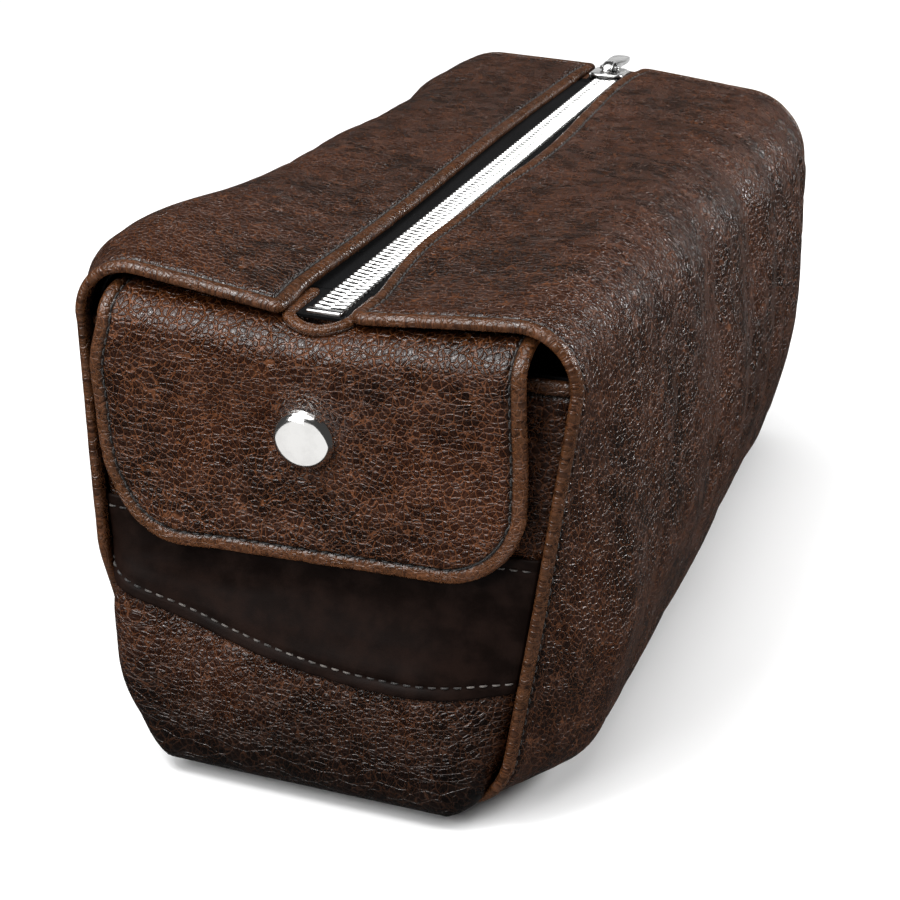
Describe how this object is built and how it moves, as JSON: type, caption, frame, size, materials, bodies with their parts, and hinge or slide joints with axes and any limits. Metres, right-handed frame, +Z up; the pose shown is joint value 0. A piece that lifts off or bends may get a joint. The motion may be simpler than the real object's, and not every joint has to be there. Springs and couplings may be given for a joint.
{
  "type": "shaving kit bag",
  "caption": "Long leather toiletry bag with a zip along the top, fold-out top panels and a snap flap over each end.",
  "frame": {"origin": "middle of the base, on the surface that the bag stands on", "axes": "+Z up, +Y along the bag to the rear end, where the zip is shut, +X to the right seen from the front end"},
  "size_m": [0.1262, 0.2786, 0.1365],
  "materials": {
    "pebbled_leather": "dark brown pebbled pull-up leather, semi-gloss, with lighter worn creases and edges",
    "smooth_leather": "smooth matte very dark brown leather",
    "lining_fabric": "plain black woven lining",
    "zip_tape": "black herringbone zip tape",
    "zip_metal": "bright nickel-plated zip metal",
    "snap_nickel": "polished nickel snap"
  },
  "bodies": {
    "bag": {"body_leather": "pebbled_leather", "body_lining": "lining_fabric", "front_end_band": "smooth_leather", "front_end_lining": "lining_fabric", "front_end_panel": "pebbled_leather", "front_flap_bend": "pebbled_leather", "front_snap_post": "snap_nickel", "front_snap_stud": "snap_nickel", "front_zip_end_tape": "zip_tape", "front_zip_end_teeth": "zip_metal", "rear_end_band": "smooth_leather", "rear_end_lining": "lining_fabric", "rear_end_panel": "pebbled_leather", "rear_flap_bend": "pebbled_leather", "rear_snap_post": "snap_nickel", "rear_snap_stud": "snap_nickel", "rear_zip_end_tape": "zip_tape", "rear_zip_end_teeth": "zip_metal", "zip_bottom_stop": "zip_metal", "zip_top_stops": "zip_metal"},
    "left_top": {"left_top_leather": "pebbled_leather", "left_top_lining": "lining_fabric", "left_zip_tape": "zip_tape", "left_zip_teeth": "zip_metal"},
    "right_top": {"right_top_leather": "pebbled_leather", "right_top_lining": "lining_fabric", "right_zip_tape": "zip_tape", "right_zip_teeth": "zip_metal"},
    "slider": {"zip_slider": "zip_metal"},
    "pull": {"zip_pull": "zip_metal"},
    "front_flap": {"front_flap_leather": "pebbled_leather", "front_flap_backing": "smooth_leather", "front_snap_cap": "snap_nickel", "front_snap_socket": "snap_nickel"},
    "rear_flap": {"rear_flap_leather": "pebbled_leather", "rear_flap_backing": "smooth_leather", "rear_snap_cap": "snap_nickel", "rear_snap_socket": "snap_nickel"}
  },
  "joints": [
    {"name": "right_top_fold", "type": "hinge", "parent": "bag", "child": "right_top", "pos_m": [0.0482, 0, 0.1365], "axis": [0, 1, 0], "range_deg": [0, 110]},
    {"name": "left_top_fold", "type": "hinge", "parent": "bag", "child": "left_top", "pos_m": [-0.0482, 0, 0.1365], "axis": [0, -1, 0], "range_deg": [0, 110]},
    {"name": "zip_slide", "type": "slide", "parent": "bag", "child": "slider", "axis": [0, -1, 0], "range_m": [0, 0.241]},
    {"name": "pull_turn", "type": "hinge", "parent": "slider", "child": "pull", "pos_m": [0, 0.1205, 0.1337], "axis": [1, 0, 0], "range_deg": [0, 170]},
    {"name": "front_flap_lift", "type": "hinge", "parent": "bag", "child": "front_flap", "pos_m": [0, -0.1367, 0.1235], "axis": [-1, 0, 0], "range_deg": [0, 110]},
    {"name": "rear_flap_lift", "type": "hinge", "parent": "bag", "child": "rear_flap", "pos_m": [0, 0.1367, 0.1235], "axis": [1, 0, 0], "range_deg": [0, 110]}
  ]
}
